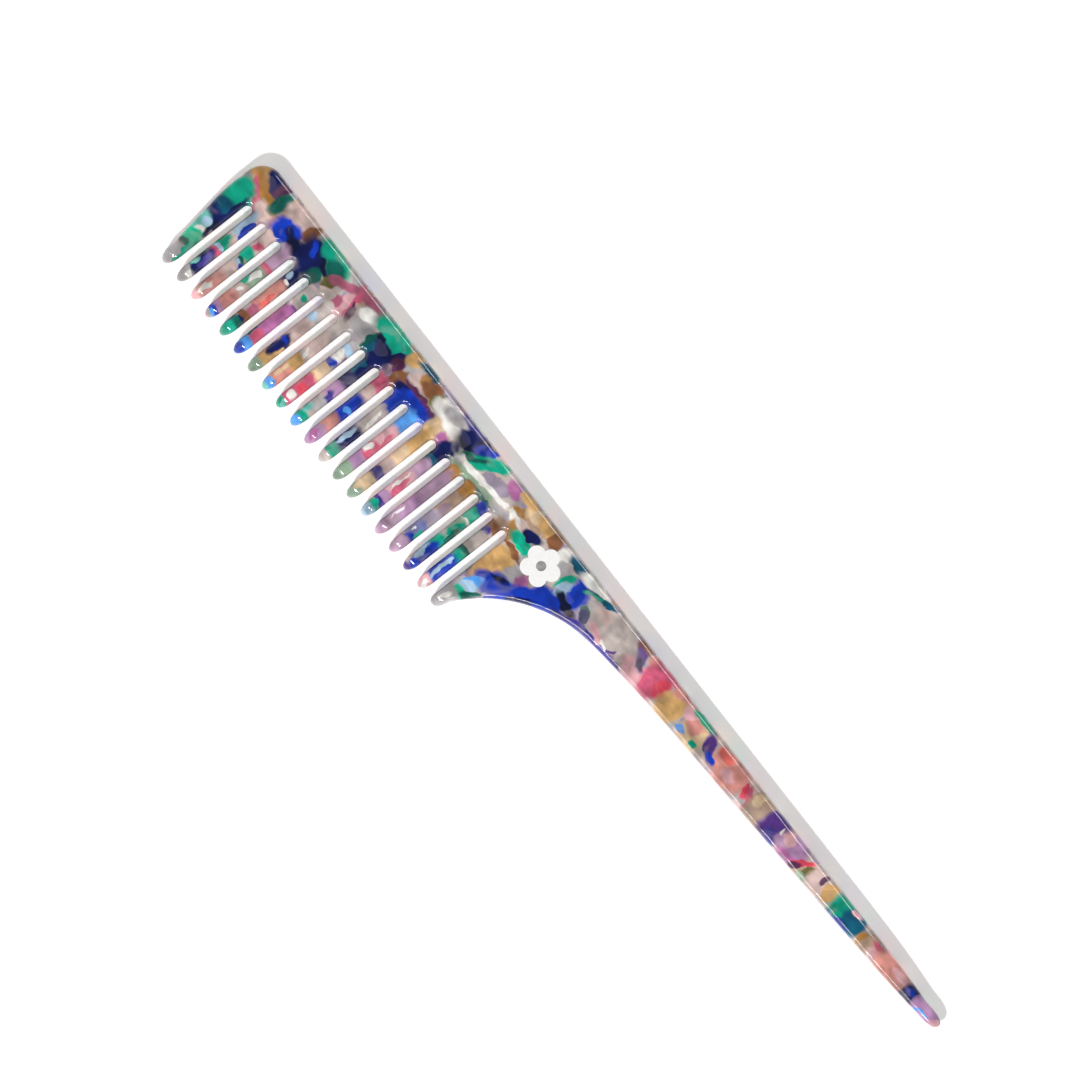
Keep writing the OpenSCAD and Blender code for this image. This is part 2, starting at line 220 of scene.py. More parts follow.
# Each tooth's chips: dye, place down from the back and reach down, then, where a chip
# doesn't fill the tooth, its place across the tooth, its reach across and its turn. A few
# small pale chips are painted glints. Each is named where it stands.
tooth_chips = [
    [("ice", 10.6, 2.6, -0.3, 0.9), ("cobalt", 10.9, 2.4, 0.95, 0.3), ("blush", 13.6, 0.7, 0.3, 0.8),
     ("emerald", 15.4, 1.6, -0.3, 1.2), ("ice", 16.5, 0.4, 0.0, 0.8, -20),
     ("rose", 17.7, 0.7, 0.2, 1.2, -20), ("navy", 20.2, 2.3), ("indigo", 19.6, 1.6, 0.5, 0.6),
     # In the first tooth the small white chip at 23.5 is a painted glint.
     ("aqua", 21.2, 0.9, -0.9, 0.6), ("grey", 24.4, 1.5), ("white", 23.5, 0.6, 0.1, 0.4, -30)],
    [("blush", 9.4, 1.8), ("rose", 10.9, 1.1, 0.2, 0.6, 40), ("emerald", 13.2, 1.1, -0.2, 1.3, 15),
     ("bottle", 14.9, 0.6, -0.1, 1.0, 30), ("ice", 15.4, 0.4, 0.3, 0.8, 30),
     ("cobalt", 15.9, 0.8, 1.0, 0.3), ("blush", 17.4, 1.3), ("salmon", 21.4, 2.6),
     ("white", 22.4, 1.3, -0.1, 0.5, 12), ("pink", 24.9, 0.8)],
    [("orchid_grey", 9.4, 2.2), ("rose", 12.2, 0.45), ("sage", 14.8, 2.0),
     ("white", 14.5, 1.4, -0.1, 0.6), ("emerald", 16.6, 0.8, -0.8, 0.4), ("blush", 18.2, 1.2),
     ("white", 18.0, 0.6, 0.1, 0.4, 40), ("salmon", 20.8, 1.6), ("lilac", 22.8, 0.6),
     ("cobalt", 24.0, 0.9), ("sky", 24.4, 0.6, 0.0, 0.5), ("grey", 25.0, 0.4)],
    # In the fourth tooth the small ice and white chips at 9.6 and 11.2 are painted glints.
    [("navy", 9.2, 2.4), ("ice", 9.6, 0.8, -0.4, 0.6), ("white", 11.2, 0.4, 0.2, 0.4),
     ("salmon", 15.2, 3.0), ("coral", 15.4, 1.7, 0.4, 0.5), ("old_rose", 18.8, 1.4, 0.3, 0.9),
     ("brown", 20.6, 0.6), ("navy", 21.4, 0.6, 0.1, 0.8), ("bottle", 22.6, 1.0),
     ("emerald", 24.2, 1.4)],
    [("pearl", 10.0, 2.0), ("emerald", 10.4, 0.5, 0.2, 0.4), ("white", 12.6, 0.6, -0.6, 0.6),
     ("violet", 13.2, 0.8, 0.7, 0.6), ("orchid", 17.2, 4.0), ("rose", 21.0, 1.2, 0.3, 0.9),
     ("petrol", 20.4, 1.6, -1.0, 0.3), ("sky", 23.2, 0.9), ("cobalt", 24.6, 0.9)],
    [("pearl", 9.0, 1.6), ("ice", 11.0, 1.0, -0.4, 0.8), ("blush", 14.2, 2.2), ("gold", 21.2, 2.8),
     ("navy", 18.8, 2.4, -0.3, 0.8), ("cobalt", 17.4, 0.6, -0.4, 0.6), ("sage", 24.4, 1.3)],
    # In the seventh tooth the small white chip at 15.8 is a painted glint.
    [("pearl", 10.0, 3.0), ("blush", 13.6, 2.0), ("white", 15.8, 1.0, 0.1, 0.3, -30),
     ("gold", 18.8, 1.9), ("salmon", 21.8, 1.8), ("cream", 21.0, 1.4, -0.4, 0.5), ("sky", 24.2, 0.8),
     ("aqua", 25.2, 0.5)],
    [("grey", 8.8, 1.0), ("ice", 9.8, 0.8), ("cobalt", 13.0, 1.0, -0.3, 0.8),
     ("white", 11.6, 1.2, -0.3, 0.8), ("cream", 16.2, 1.8), ("rose", 19.6, 2.0),
     ("crimson", 20.4, 0.8, 0.2, 0.8), ("rose", 22.8, 1.2), ("white", 22.2, 0.6, 0.1, 0.8),
     ("emerald", 24.8, 0.9), ("aqua", 24.4, 0.4, 0.0, 0.6)],
    [("navy", 11.0, 3.8), ("petrol", 9.6, 1.4, -0.7, 0.7), ("lilac", 16.0, 1.6),
     ("indigo", 17.8, 1.3, 0.4, 0.7), ("grey", 19.8, 1.2), ("aqua", 21.8, 1.0, -0.5, 0.7),
     ("emerald", 23.2, 0.8), ("sky", 24.8, 1.1)],
    # In the tenth tooth the small sky chip at 16.5 is a painted glint.
    [("rose", 9.2, 1.8), ("blush", 11.9, 1.4), ("cobalt", 16.0, 2.8), ("sky", 16.5, 0.5, 0.2, 0.5),
     ("salmon", 20.4, 1.8), ("lilac", 23.8, 2.0), ("orchid", 23.4, 1.0, -0.2, 0.6)],
    [("cobalt", 9.2, 2.1), ("pearl", 14.0, 2.9), ("white", 13.4, 1.8, 0.4, 0.3, -6),
     ("navy", 19.6, 2.6), ("ice", 19.3, 2.0, -0.4, 0.4), ("emerald", 22.8, 1.2), ("pearl", 24.9, 1.2)],
    [("sky", 9.6, 2.2), ("pink", 14.0, 2.2), ("rose", 15.4, 2.2, 0.8, 0.4), ("rose", 17.6, 1.5),
     ("white", 17.4, 0.9, -0.4, 0.5), ("lilac", 20.4, 1.2), ("sage", 24.0, 2.2)],
    [("gold", 10.4, 3.2), ("cream", 14.4, 1.9), ("blush", 16.8, 1.2), ("indigo", 18.8, 1.0),
     ("cream", 21.8, 2.0), ("sage", 24.6, 1.6), ("cream", 22.4, 1.2, -0.3, 0.6)],
    [("navy", 8.4, 1.6), ("petrol", 10.2, 0.8), ("orchid_grey", 13.0, 2.4), ("pink", 17.2, 2.6),
     # In the fourteenth tooth the thin white chip at 16.6 is a painted glint.
     ("rose", 17.8, 2.2, 0.5, 0.5), ("white", 16.6, 1.9, -0.2, 0.25), ("lilac", 20.7, 0.8),
     ("indigo", 21.8, 0.5), ("emerald", 23.0, 0.7), ("ice", 24.6, 1.2)],
    [("ochre", 8.6, 1.2), ("orchid_grey", 13.0, 3.6), ("lilac", 19.0, 3.0), ("orchid_grey", 23.4, 2.4),
     ("white", 20.0, 1.4, -0.4, 0.2)],
    [("ochre", 8.8, 1.5), ("tan", 12.6, 2.4), ("mauve", 13.8, 1.2, 0.4, 0.8), ("lilac_grey", 17.0, 2.0),
     ("slate", 19.6, 1.6), ("emerald", 20.2, 0.9, 0.9, 0.3), ("cobalt", 21.9, 0.9, 0.3, 0.8, 25),
     # In the sixteenth tooth the small white chip at 20.0 is a painted glint.
     ("white", 20.0, 0.5, -0.2, 0.2), ("orchid_grey", 24.2, 1.9)],
    [("cobalt", 8.8, 1.3, 0.2, 1.0), ("emerald", 10.6, 1.0), ("white", 12.0, 0.5, 0.0, 0.8, -35),
     ("sage", 14.0, 1.8), ("emerald", 14.2, 1.8, 0.0, 0.6, 14), ("bottle", 17.0, 2.6, 0.7, 0.5),
     ("emerald", 18.6, 1.8, -0.3, 1.2), ("cobalt", 21.6, 3.2, 0.4, 1.2), ("ice", 21.2, 1.8, -0.4, 0.5),
     ("violet", 25.2, 0.6)],
    [("brown", 8.8, 1.0), ("indigo", 10.2, 0.7, -0.3, 0.8), ("pearl", 13.0, 2.2), ("bottle", 15.5, 0.6),
     ("emerald", 17.0, 1.1), ("cobalt", 20.2, 2.8), ("ice", 20.2, 2.4, -0.1, 0.4), ("pink", 24.3, 1.3),
     ("white", 24.7, 0.5, 0.1, 0.6)],
]


def new_group(name, taken, given):
    """A shader node group with its sockets, as (group, what it takes in, what it gives out)."""
    group = bpy.data.node_groups.new(name, "ShaderNodeTree")
    for sockets, way in ((taken, "INPUT"), (given, "OUTPUT")):
        for socket, kind in sockets.items():
            group.interface.new_socket(socket, in_out=way, socket_type="NodeSocket" + kind)
    return group, group.nodes.new("NodeGroupInput").outputs, group.nodes.new("NodeGroupOutput").inputs


def add(tree, kind, **settings):
    """Adds a node to a tree with its settings."""
    node = tree.nodes.new("ShaderNode" + kind)
    for setting, value in settings.items():
        setattr(node, setting, value)
    return node


def feed(tree, node, **values):
    """Links or sets a node's inputs, which are named with _ for each space."""
    for name, value in values.items():
        socket = node.inputs[int(name[3:]) if name.startswith("at_") else name.replace("_", " ")]
        if isinstance(value, bpy.types.NodeSocket):
            tree.links.new(value, socket)
        else:
            socket.default_value = value
    return node


# Where a point lies in the pressed sheet: millimetres along the comb and down from its
# back, leaning with depth, wandering, and broken into small flakes of their own tone.
lean = (0.45, 0.35, 0)
sway_width = 1.7
sway_reach = (sway_width, sway_width, 0)
sway_middle = (-sway_width / 2, -sway_width / 2, 0)
sheet_place, taken, given = new_group(
    "sheet_place", {"Point": "Vector"},
    {"Place": "Vector", "Ground": "Color", "Tone": "Float", "Fleck": "Float"},
)
ruled = feed(
    sheet_place, add(sheet_place, "Mapping"),
    Vector=taken["Point"], Location=(-front_x * mm, back_y * mm, -thickness * mm), Scale=(mm, -mm, mm),
)
height = feed(sheet_place, add(sheet_place, "SeparateXYZ"), Vector=ruled.outputs[0])
leaning = feed(
    sheet_place, add(sheet_place, "VectorMath", operation="MULTIPLY_ADD"),
    at_0=height.outputs["Z"], at_1=lean, at_2=ruled.outputs[0],
)
wander = feed(
    sheet_place, add(sheet_place, "TexNoise"),
    Vector=leaning.outputs[0], Scale=0.42, Detail=1.5, Roughness=0.5,
)
sway = feed(
    sheet_place, add(sheet_place, "VectorMath", operation="MULTIPLY_ADD"),
    at_0=wander.outputs["Color"], at_1=sway_reach, at_2=sway_middle,
)
warped = feed(
    sheet_place, add(sheet_place, "VectorMath", operation="ADD"),
    at_0=leaning.outputs[0], at_1=sway.outputs[0],
)
flakes = feed(sheet_place, add(sheet_place, "TexVoronoi"), Vector=warped.outputs[0], Scale=0.45)
broken = feed(
    sheet_place, add(sheet_place, "Mix", data_type="VECTOR"),
    Factor=0.14, A=warped.outputs[0], B=flakes.outputs["Position"],
)
sheet_place.links.new(broken.outputs["Result"], given["Place"])
flake = feed(sheet_place, add(sheet_place, "SeparateColor"), Color=flakes.outputs["Color"])
tone = feed(sheet_place, add(sheet_place, "MapRange"), Value=flake.outputs[1], To_Min=0.9, To_Max=1.1)
sheet_place.links.new(tone.outputs["Result"], given["Tone"])
fleck = feed(
    sheet_place, add(sheet_place, "MapRange"),
    Value=flake.outputs[2], From_Min=0.94, From_Max=1.0, To_Max=0.12,
)
sheet_place.links.new(fleck.outputs["Result"], given["Fleck"])

# The ground between the chips: pale scraps at the face and strong ones deeper down.
scraps = feed(sheet_place, add(sheet_place, "TexVoronoi"), Vector=warped.outputs[0], Scale=0.34)
scrap = feed(sheet_place, add(sheet_place, "SeparateColor"), Color=scraps.outputs["Color"])
ground = add(sheet_place, "ValToRGB")
ground_dyes = ("pearl", "blush", "mauve", "grey", "tan", "pearl", "lilac_grey", "blush", "grey", "pearl")
deep = add(sheet_place, "ValToRGB")
deep_dyes = (
    "rose", "navy", "emerald", "gold", "pearl", "cobalt",
    "coral", "lilac", "bottle", "grey", "plum", "tan",
)
for ramp, ramp_dyes in ((ground, ground_dyes), (deep, deep_dyes)):
    ramp.color_ramp.interpolation = "CONSTANT"
    for step, dye_name in enumerate(ramp_dyes):
        if step > 1:
            ramp.color_ramp.elements.new(step / len(ramp_dyes))
        ramp.color_ramp.elements[step].position = step / len(ramp_dyes)
        ramp.color_ramp.elements[step].color = dyes[dye_name]
    sheet_place.links.new(scrap.outputs[0], ramp.inputs["Fac"])
sunk = feed(
    sheet_place, add(sheet_place, "MapRange", interpolation_type="SMOOTHSTEP"),
    Value=height.outputs["Z"], From_Min=-0.7, From_Max=-1.7,
)
filled = feed(
    sheet_place, add(sheet_place, "Mix", data_type="RGBA"),
    Factor=sunk.outputs["Result"], A=ground.outputs["Color"], B=deep.outputs["Color"],
)
sheet_place.links.new(filled.outputs["Result"], given["Ground"])

# One chip: an ellipse with a soft edge, laid on what is under it. It pushes the place
# of the chips laid after it a little aside, as a flake does in the press.
chip_core = 0.90
chip_rim = 1.45
chip_push = (0.12, -0.12, 0)
pressed_chip, taken, given = new_group(
    "pressed_chip",
    {
        "Place": "Vector", "Centre": "Vector", "Reach": "Vector", "Turn": "Float",
        "Under": "Color", "Chip": "Color",
    },
    {"Colour": "Color", "Pushed": "Vector"},
)
away = feed(
    pressed_chip, add(pressed_chip, "VectorMath", operation="SUBTRACT"),
    at_0=taken["Place"], at_1=taken["Centre"],
)
turned = feed(
    pressed_chip, add(pressed_chip, "VectorRotate", rotation_type="Z_AXIS"),
    Vector=away.outputs[0], Angle=taken["Turn"],
)
share = feed(
    pressed_chip, add(pressed_chip, "VectorMath", operation="DIVIDE"),
    at_0=turned.outputs[0], at_1=taken["Reach"],
)
reached = feed(pressed_chip, add(pressed_chip, "VectorMath", operation="LENGTH"), at_0=share.outputs[0])
inside = feed(
    pressed_chip, add(pressed_chip, "MapRange", interpolation_type="SMOOTHSTEP"),
    Value=reached.outputs["Value"], From_Min=chip_rim, From_Max=chip_core,
)
laid = feed(
    pressed_chip, add(pressed_chip, "Mix", data_type="RGBA"),
    Factor=inside.outputs["Result"], A=taken["Under"], B=taken["Chip"],
)
pressed_chip.links.new(laid.outputs["Result"], given["Colour"])
push = feed(
    pressed_chip, add(pressed_chip, "VectorMath", operation="MULTIPLY_ADD"),
    at_0=inside.outputs["Result"], at_1=chip_push, at_2=taken["Place"],
)
pressed_chip.links.new(push.outputs[0], given["Pushed"])

# The depth that pressing gives the sheet: cloudy pearl, silky streaks, milky veils and
# pale flecks, seen through the polish.
milky_depth, taken, given = new_group(
    "milky_depth", {"Point": "Vector", "Colour": "Color", "Tone": "Float", "Fleck": "Float"},
    {"Colour": "Color", "Roughness": "Float", "Height": "Float"},
)
close = feed(
    milky_depth, add(milky_depth, "Mapping"),
    Vector=taken["Point"], Scale=(mm, mm, 600), Rotation=(0.2, 0.3, 0.5),
)
clouds = feed(
    milky_depth, add(milky_depth, "TexNoise"),
    Vector=close.outputs[0], Scale=0.3, Detail=1, Distortion=0.3,
)
lightness = feed(
    milky_depth, add(milky_depth, "MapRange"),
    Value=clouds.outputs["Fac"], From_Min=0.3, From_Max=0.7, To_Min=0.62, To_Max=1.30,
)
combed = feed(
    milky_depth, add(milky_depth, "Mapping"),
    Vector=taken["Point"], Scale=(420, 1700, 600), Rotation=(0.0, 0.0, 0.9),
)
silk = feed(
    milky_depth, add(milky_depth, "TexNoise"),
    Vector=combed.outputs[0], Scale=0.5, Detail=1, Distortion=0.8,
)
sheen = feed(
    milky_depth, add(milky_depth, "MapRange"),
    Value=silk.outputs["Fac"], From_Min=0.3, From_Max=0.7, To_Min=0.9, To_Max=1.1,
)
toned = feed(
    milky_depth, add(milky_depth, "Math", operation="MULTIPLY"),
    at_0=lightness.outputs["Result"], at_1=taken["Tone"],
)
silky = feed(
    milky_depth, add(milky_depth, "Math", operation="MULTIPLY"),
    at_0=toned.outputs[0], at_1=sheen.outputs["Result"],
)
shaded = feed(
    milky_depth, add(milky_depth, "VectorMath", operation="SCALE"),
    at_0=taken["Colour"], Scale=silky.outputs[0],
)
folds = feed(
    milky_depth, add(milky_depth, "TexNoise"),
    Vector=close.outputs[0], Scale=0.20, Detail=1.5, Distortion=1.0,
)
veil = feed(
    milky_depth, add(milky_depth, "MapRange", interpolation_type="SMOOTHSTEP"),
    Value=folds.outputs["Fac"], From_Min=0.54, From_Max=0.72, To_Max=0.24,
)
folded = feed(
    milky_depth, add(milky_depth, "Mix", data_type="RGBA"),
    Factor=veil.outputs["Result"], A=shaded.outputs[0], B=dyes["pearl"],
)
flecked = feed(
    milky_depth, add(milky_depth, "Mix", data_type="RGBA"),
    Factor=taken["Fleck"], A=folded.outputs["Result"], B=dyes["pearl"],
)
milky_depth.links.new(flecked.outputs["Result"], given["Colour"])
gloss = feed(
    milky_depth, add(milky_depth, "MapRange"),
    Value=clouds.outputs["Fac"], From_Min=0.3, From_Max=0.7, To_Min=0.07, To_Max=0.15,
)
milky_depth.links.new(gloss.outputs["Result"], given["Roughness"])
milky_depth.links.new(folds.outputs["Fac"], given["Height"])

# ---- Sawn plate -------------------------------------------------------------------
# The comb is one plate of the pressed acetate: sawn to outline, its gaps cut with a
# round cutter, its edges rounded on polishing wheels and its tooth tips ground slim.
tip_y = cad_low.y
middle_z = thickness / 2
edge_radius = 0.00100
edge_steps = 6

first_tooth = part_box("tooth_01")
second_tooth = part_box("tooth_02")
root_y = first_tooth[1].y
tooth_pitch = second_tooth[0].x - first_tooth[0].x
tooth_width = first_tooth[1].x - first_tooth[0].x
gap_radius = (tooth_pitch - tooth_width) / 2
tooth_count = len([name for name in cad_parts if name.startswith("tooth_")])
front_tooth_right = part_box("front_tooth")[1].x
shoulder_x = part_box("shoulder")[0].x
neck_end_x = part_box("tail")[0].x

# The front end: its rounded corner and its slightly bowed slant.
front_corner_radius = 0.0042
front_bow_radius = 0.033
front_bow_turn = math.radians(8.6)
front_bow_start = 0.0070
corner_steps = 12

# The neck, the easy bend after it, and the bow of the tail's point.
neck_radius = 0.0275
neck_end_depth = 0.00800
neck_end_slope = math.radians(6.5)
neck_steps = 28
bend_radius = 0.300
bend_length = 0.0203
point_bow_radius = 0.280
point_start_x = 0.0785
bow_steps = 8

# Where the teeth and the tail are sawn off square before their tips are rounded, how
# blunt each tip is, how far it leans, and how far the grinding reaches.
tooth_cut_y = tip_y + 0.0026
front_cut_y = tip_y + 0.0045
tail_cut_x = 0.0925
tooth_bluntness = 2.2
shoulder_bluntness = 2.6
front_bluntness = 3.0
tail_bluntness = 4.0
front_tip_shift = 0.00015
shoulder_tip_shift = -0.0003
tail_tip_shift = 0.00030
tooth_tip_steps = 9
tail_tip_steps = 10
tip_flat = 0.04
bevel_length = 0.0045
tail_bevel_length = 0.024
tooth_rings = 5
tail_rings = 8
tooth_thinning = 0.35
tail_thinning = 0.45

# How close counts as the same point, the same line, and in a saw cut's plane.
same_point = 1e-6
same_line = 1e-5
in_plane = 1e-7


def line_to(comb, pen, x, y):
    """Draws a straight edge of the outline and gives its end."""
    made = bmesh.ops.extrude_vert_indiv(comb, verts=[pen])
    made["verts"][0].co = (x, y, 0)
    return made["verts"][0]


def arc_about(comb, pen, x, y, turn, steps):
    """Draws a round stretch of the outline about a centre and gives its end."""
    made = bmesh.ops.spin(
        comb, geom=[pen], cent=(x, y, 0), axis=(0, 0, 1), angle=turn, steps=steps, use_merge=False
    )
    return next(part for part in made["geom_last"] if isinstance(part, bmesh.types.BMVert))


def draw_outline(comb):
    """The sawn outline, from the tail along the back, down the teeth and back up the neck."""
    point_reach = tail_cut_x - point_start_x
    start = comb.verts.new((tail_cut_x, back_y - point_reach**2 / (2 * point_bow_radius), 0))
    point_turn = math.asin(point_reach / point_bow_radius)
    pen = arc_about(comb, start, point_start_x, back_y - point_bow_radius, point_turn, bow_steps)
    corner_x = front_x + front_corner_radius
    pen = line_to(comb, pen, corner_x, back_y)
    pen = arc_about(comb, pen, corner_x, back_y - front_corner_radius, math.pi / 2, corner_steps)
    front_bow_y = back_y - front_bow_start
    pen = line_to(comb, pen, front_x, front_bow_y)
    pen = arc_about(comb, pen, front_x + front_bow_radius, front_bow_y, front_bow_turn, bow_steps)
    pen = line_to(comb, pen, pen.co.x + (pen.co.y - front_cut_y) * math.tan(front_bow_turn), front_cut_y)
    pen = line_to(comb, pen, front_tooth_right, front_cut_y)
    for tooth in range(tooth_count + 1):
        gap_x = front_tooth_right + gap_radius + tooth * tooth_pitch
        pen = line_to(comb, pen, gap_x - gap_radius, root_y)
        pen = arc_about(comb, pen, gap_x, root_y, -math.pi, corner_steps)
        pen = line_to(comb, pen, gap_x + gap_radius, tooth_cut_y)
        if tooth < tooth_count:
            pen = line_to(comb, pen, gap_x + gap_radius + tooth_width, tooth_cut_y)
    neck_x = neck_end_x + neck_radius * math.sin(neck_end_slope)
    neck_y = back_y - neck_end_depth - neck_radius * math.cos(neck_end_slope)
    cut_drop = tooth_cut_y - neck_y
    pen = line_to(comb, pen, neck_x - math.sqrt(neck_radius**2 - cut_drop**2), tooth_cut_y)
    neck_turn = math.acos(cut_drop / neck_radius) - neck_end_slope
    pen = arc_about(comb, pen, neck_x, neck_y, -neck_turn, neck_steps)
    bend_x = pen.co.x + bend_radius * math.sin(neck_end_slope)
    bend_y = pen.co.y - bend_radius * math.cos(neck_end_slope)
    bend_turn = bend_length / bend_radius
    pen = arc_about(comb, pen, bend_x, bend_y, -bend_turn, bow_steps)
    taper_slope = neck_end_slope - bend_turn
    taper_rise = (point_start_x - pen.co.x) * math.tan(taper_slope)
    pen = line_to(comb, pen, point_start_x, pen.co.y + taper_rise)
    bow_x = pen.co.x - point_bow_radius * math.sin(taper_slope)
    bow_y = pen.co.y + point_bow_radius * math.cos(taper_slope)
    bow_turn = math.asin((tail_cut_x - bow_x) / point_bow_radius) - taper_slope
    pen = arc_about(comb, pen, bow_x, bow_y, bow_turn, bow_steps)
    line_to(comb, pen, start.co.x, start.co.y)
    bmesh.ops.remove_doubles(comb, verts=comb.verts, dist=same_point)


def close_tip(comb, face, along, bluntness, steps):
    """Carries a sawn end on as a rounded tip that narrows evenly on all sides."""
    centre = face.calc_center_median()
    before = 1.0
    for step in range(1, steps + 1):
        share = math.sin(math.pi / 2 * step / steps)
        size = max((1 - share**bluntness) ** 0.5, tip_flat)
        made = bmesh.ops.extrude_discrete_faces(comb, faces=[face])
        face = made["faces"][0]
        here = centre + along * share
        bmesh.ops.translate(comb, vec=here - face.calc_center_median(), verts=face.verts)
        shrink = Vector((1, 1, 1)) * (size / before)
        bmesh.ops.scale(comb, vec=shrink, space=Matrix.Translation(-here), verts=face.verts)
        before = size


comb = bmesh.new()
draw_outline(comb)
blank = bmesh.ops.contextual_create(comb, geom=comb.edges[:])["faces"][0]
raised = bmesh.ops.extrude_face_region(comb, geom=[blank])
top_verts = [part for part in raised["geom"] if isinstance(part, bmesh.types.BMVert)]
bmesh.ops.translate(comb, vec=(0, 0, thickness), verts=top_verts)
bmesh.ops.recalc_face_normals(comb, faces=comb.faces)


def on_cut(edge):
    """True for the straight ends of the teeth and the tail, which are rounded off as tips."""
    ends = [vert.co for vert in edge.verts]
    level = min(abs(ends[0].y - cut) + abs(ends[1].y - cut) for cut in (tooth_cut_y, front_cut_y))
    return level < same_line or all(abs(end.x - tail_cut_x) < same_line for end in ends)


# The polishing wheel rounds every edge of both faces.
rims = [
    edge
    for edge in comb.edges
    if abs(edge.verts[0].co.z - edge.verts[1].co.z) < same_point and not on_cut(edge)
]
bmesh.ops.bevel(
    comb, geom=rims, offset=edge_radius, offset_type="OFFSET", segments=edge_steps,
    profile=0.5, affect="EDGES", clamp_overlap=False, material=-1,
)

# Rings across the teeth and the tail, so that the grinding can thin them in a curve.
rings = [(0, tooth_cut_y + bevel_length * ring / tooth_rings, 0) for ring in range(1, tooth_rings + 1)]
for ring_place in rings:
    bmesh.ops.bisect_plane(
        comb, geom=comb.verts[:] + comb.edges[:] + comb.faces[:], dist=in_plane,
        plane_co=ring_place, plane_no=(0, 1, 0),
    )
rings = [(tail_cut_x - tail_bevel_length * ring / tail_rings, 0, 0) for ring in range(1, tail_rings + 1)]
for ring_place in rings:
    bmesh.ops.bisect_plane(
        comb, geom=comb.verts[:] + comb.edges[:] + comb.faces[:], dist=in_plane,
        plane_co=ring_place, plane_no=(1, 0, 0),
    )

# Each sawn end is carried on as a round tip. An end faces straight along its tooth.
straight = 0.99
tooth_ends = [
    face
    for face in comb.faces
    if face.normal.y < -straight and face.calc_center_median().y < root_y
]
for face in tooth_ends:
    centre = face.calc_center_median()
    if centre.y > (tooth_cut_y + front_cut_y) / 2:
        along = Vector((front_tip_shift, tip_y - front_cut_y, 0))
        close_tip(comb, face, along, front_bluntness, tooth_tip_steps)
    elif centre.x > shoulder_x:
        along = Vector((shoulder_tip_shift, tip_y - tooth_cut_y, 0))
        close_tip(comb, face, along, shoulder_bluntness, tooth_tip_steps)
    else:
        along = Vector((0, tip_y - tooth_cut_y, 0))
        close_tip(comb, face, along, tooth_bluntness, tooth_tip_steps)
tail_end = next(
    face
    for face in comb.faces
    if face.normal.x > straight and len(face.verts) > 2 * edge_steps
)
along = Vector((cad_high.x - tail_cut_x, tail_tip_shift, 0))
close_tip(comb, tail_end, along, tail_bluntness, tail_tip_steps)

# The grinding wheel thins the last stretch of each tooth and of the tail.
tooth_bevel_y = tooth_cut_y + bevel_length
tail_bevel_x = tail_cut_x - tail_bevel_length
for vert in comb.verts:
    down_tooth = (tooth_bevel_y - vert.co.y) / (tooth_bevel_y - tip_y)
    down_tail = (vert.co.x - tail_bevel_x) / (cad_high.x - tail_bevel_x)
    ground = tooth_thinning * max(down_tooth, 0) ** 2 + tail_thinning * max(down_tail, 0) ** 2
    vert.co.z = middle_z + (vert.co.z - middle_z) * (1 - ground)

for face in comb.faces:
    face.smooth = True

# Every piece has the chips that lie in it or close by. A chip spreads past its reach at
# its soft edge, and the sheet's sway can carry it a little further. A tooth's chip with
# no place across, reach across or turn of its own lies midway and fills the tooth.
chip_spread = 1.3
chip_sway = 1.0
chip_thickness = 3.4
fills_tooth = (0, 1.9, 0)


def chips_near(low, high):
    """The chips that reach into a piece's box, each as dye, centre, reach and turn in millimetres."""
    left = (low.x - front_x) * mm - chip_sway
    right = (high.x - front_x) * mm + chip_sway
    top = (back_y - high.y) * mm - chip_sway
    bottom = (back_y - low.y) * mm + chip_sway
    every_chip = spine_chips + shoulder_chips + tail_chips + front_chips
    for tooth, bands in enumerate(tooth_chips):
        tooth_x = front_tooth_right - front_x + 2 * gap_radius + tooth_width / 2 + tooth * tooth_pitch
        for band in bands:
            dye_name, down, depth, across, reach, turn = band + fills_tooth[len(band) - 3 :]
            every_chip.append((dye_name, tooth_x * mm + across, down, reach, depth, turn))
    for chip in every_chip:
        dye_name, along, down, reach, depth, turn = chip
        widest = chip_spread * (max(reach, depth) if turn else reach)
        deepest = chip_spread * (max(reach, depth) if turn else depth)
        beside = left < along + widest and along - widest < right
        level = top < down + deepest and down - deepest < bottom
        if beside and level:
            yield chip


def pressed_acetate(name, low, high):
    """The finish of one piece: the sheet with the chips that lie in it, under a clear polish."""
    acetate = bpy.data.materials.new(name)
    acetate.use_nodes = True
    tree = acetate.node_tree
    point = add(tree, "TexCoord").outputs["Object"]
    place = feed(tree, add(tree, "Group", node_tree=sheet_place), Point=point)
    under = place.outputs["Ground"]
    pushed = place.outputs["Place"]
    for dye_name, along, down, reach, depth, turn in chips_near(low, high):
        chip = feed(
            tree, add(tree, "Group", node_tree=pressed_chip),
            Place=pushed, Under=under, Centre=(along, down, 0), Reach=(reach, depth, chip_thickness),
            Turn=math.radians(-turn), Chip=dyes[dye_name],
        )
        under = chip.outputs["Colour"]
        pushed = chip.outputs["Pushed"]
    depth = feed(
        tree, add(tree, "Group", node_tree=milky_depth),
        Point=point, Colour=under, Tone=place.outputs["Tone"], Fleck=place.outputs["Fleck"],
    )
    polish = feed(tree, add(tree, "Bump"), Height=depth.outputs["Height"], Strength=0.06, Distance=0.0004)
    feed(
        tree, tree.nodes["Principled BSDF"], Normal=polish.outputs[0],
        Base_Color=depth.outputs["Colour"], Roughness=depth.outputs["Roughness"],
        IOR=1.49, Coat_Weight=1.0, Coat_Roughness=0.03, Coat_IOR=1.49,
        Subsurface_Weight=0.3, Subsurface_Radius=(1.0, 0.8, 0.7), Subsurface_Scale=0.0006,
    )
    return acetate


